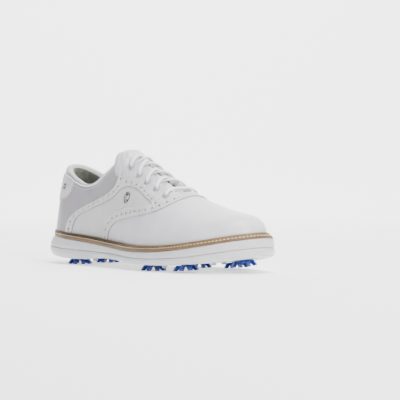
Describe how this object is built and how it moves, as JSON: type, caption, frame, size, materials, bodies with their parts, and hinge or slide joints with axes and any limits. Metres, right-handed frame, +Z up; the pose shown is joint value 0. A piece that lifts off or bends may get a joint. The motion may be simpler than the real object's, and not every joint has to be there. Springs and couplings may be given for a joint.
{
  "type": "golf shoe",
  "caption": "Right-foot lace-up golf shoe with a brogued saddle overlay, storm welt, padded collar and twist-lock soft cleats",
  "frame": {"origin": "on the ground at the centre of the bounding box, under the arch", "axes": "+X towards the toe, +Y towards the inner (medial) side, +Z up"},
  "size_m": [0.301, 0.1088, 0.1217],
  "materials": {
    "white_rubber": "satin",
    "grey_rubber": "matt",
    "socket_plastic": "matt",
    "spring_steel": "brushed",
    "cork": "matt, cork granules",
    "board": "matt, pressed fibre",
    "sockliner_foam": "matt knit over foam",
    "welt_leather": "satin, tan and brown",
    "smooth_leather": "satin, fine grain",
    "saddle_leather": "satin, fine grain",
    "grained_leather": "satin, pebbled grain",
    "stiffener": "matt",
    "lining_textile": "matt mesh",
    "collar_textile": "matt, soft",
    "foam": "matt foam",
    "eyelet_enamel": "gloss enamel",
    "lace_cotton": "braided",
    "aglet_plastic": "clear gloss",
    "cleat_plastic": "moulded, satin gloss"
  },
  "bodies": {
    "shoe": {"outsole": "white_rubber", "midsole": "white_rubber", "traction_pads": "grey_rubber", "cleat_receptacles": "socket_plastic", "shank": "spring_steel", "cork_filler": "cork", "insole_board": "board", "sockliner": "sockliner_foam", "welt": "welt_leather", "vamp": "smooth_leather", "quarter_lateral": "smooth_leather", "quarter_medial": "smooth_leather", "saddle_panel_lateral": "saddle_leather", "saddle_panel_medial": "saddle_leather", "saddle_overlay": "grained_leather", "heel_tab": "grained_leather", "topline_piping": "smooth_leather", "facing_stay_lateral": "stiffener", "facing_stay_medial": "stiffener", "heel_counter": "stiffener", "toe_puff": "stiffener", "quarter_lining": "lining_textile", "vamp_lining": "lining_textile", "collar_lining": "lining_textile", "collar_foam": "collar_textile", "tongue_leather": "smooth_leather", "tongue_foam": "foam", "tongue_lining": "lining_textile", "eyelets_lateral": "eyelet_enamel", "eyelets_medial": "eyelet_enamel", "lace": "lace_cotton", "aglets": "aglet_plastic"},
    "tongue_tip": {"tongue_tip": "smooth_leather"},
    "cleat_heel_lateral": {"cleat_heel_lateral": "cleat_plastic"},
    "cleat_heel_medial": {"cleat_heel_medial": "cleat_plastic"},
    "cleat_ball_lateral": {"cleat_ball_lateral": "cleat_plastic"},
    "cleat_ball_medial": {"cleat_ball_medial": "cleat_plastic"},
    "cleat_front_lateral": {"cleat_front_lateral": "cleat_plastic"},
    "cleat_front_medial": {"cleat_front_medial": "cleat_plastic"},
    "cleat_toe": {"cleat_toe": "cleat_plastic"}
  },
  "joints": [
    {"name": "tongue_flex", "type": "hinge", "parent": "shoe", "child": "tongue_tip", "pos_m": [-0.0305, 0.0012, 0.1085], "axis": [0, 1, 0], "range_deg": [-20, 12], "stiffness_Nm_per_rad": 0.25},
    {"name": "heel_lateral_cleat_turn", "type": "hinge", "parent": "shoe", "child": "cleat_heel_lateral", "pos_m": [-0.097, -0.019, 0.006], "axis": [0.0001, 0, -1], "range_deg": [0, 90]},
    {"name": "heel_medial_cleat_turn", "type": "hinge", "parent": "shoe", "child": "cleat_heel_medial", "pos_m": [-0.097, 0.019, 0.006], "axis": [0.0001, 0, -1], "range_deg": [0, 90]},
    {"name": "ball_lateral_cleat_turn", "type": "hinge", "parent": "shoe", "child": "cleat_ball_lateral", "pos_m": [0.04, -0.0355, 0.006], "axis": [0.0067, 0, -1], "range_deg": [0, 90]},
    {"name": "ball_medial_cleat_turn", "type": "hinge", "parent": "shoe", "child": "cleat_ball_medial", "pos_m": [0.036, 0.03, 0.00597], "axis": [0.0066, 0, -1], "range_deg": [0, 90]},
    {"name": "front_lateral_cleat_turn", "type": "hinge", "parent": "shoe", "child": "cleat_front_lateral", "pos_m": [0.085, -0.034, 0.00761], "axis": [0.0822, 0, -0.9966], "range_deg": [0, 90]},
    {"name": "front_medial_cleat_turn", "type": "hinge", "parent": "shoe", "child": "cleat_front_medial", "pos_m": [0.084, 0.035, 0.00753], "axis": [0.0805, 0, -0.9968], "range_deg": [0, 90]},
    {"name": "toe_cleat_turn", "type": "hinge", "parent": "shoe", "child": "cleat_toe", "pos_m": [0.123, 0.007, 0.01184], "axis": [0.1519, 0, -0.9884], "range_deg": [0, 90]}
  ]
}
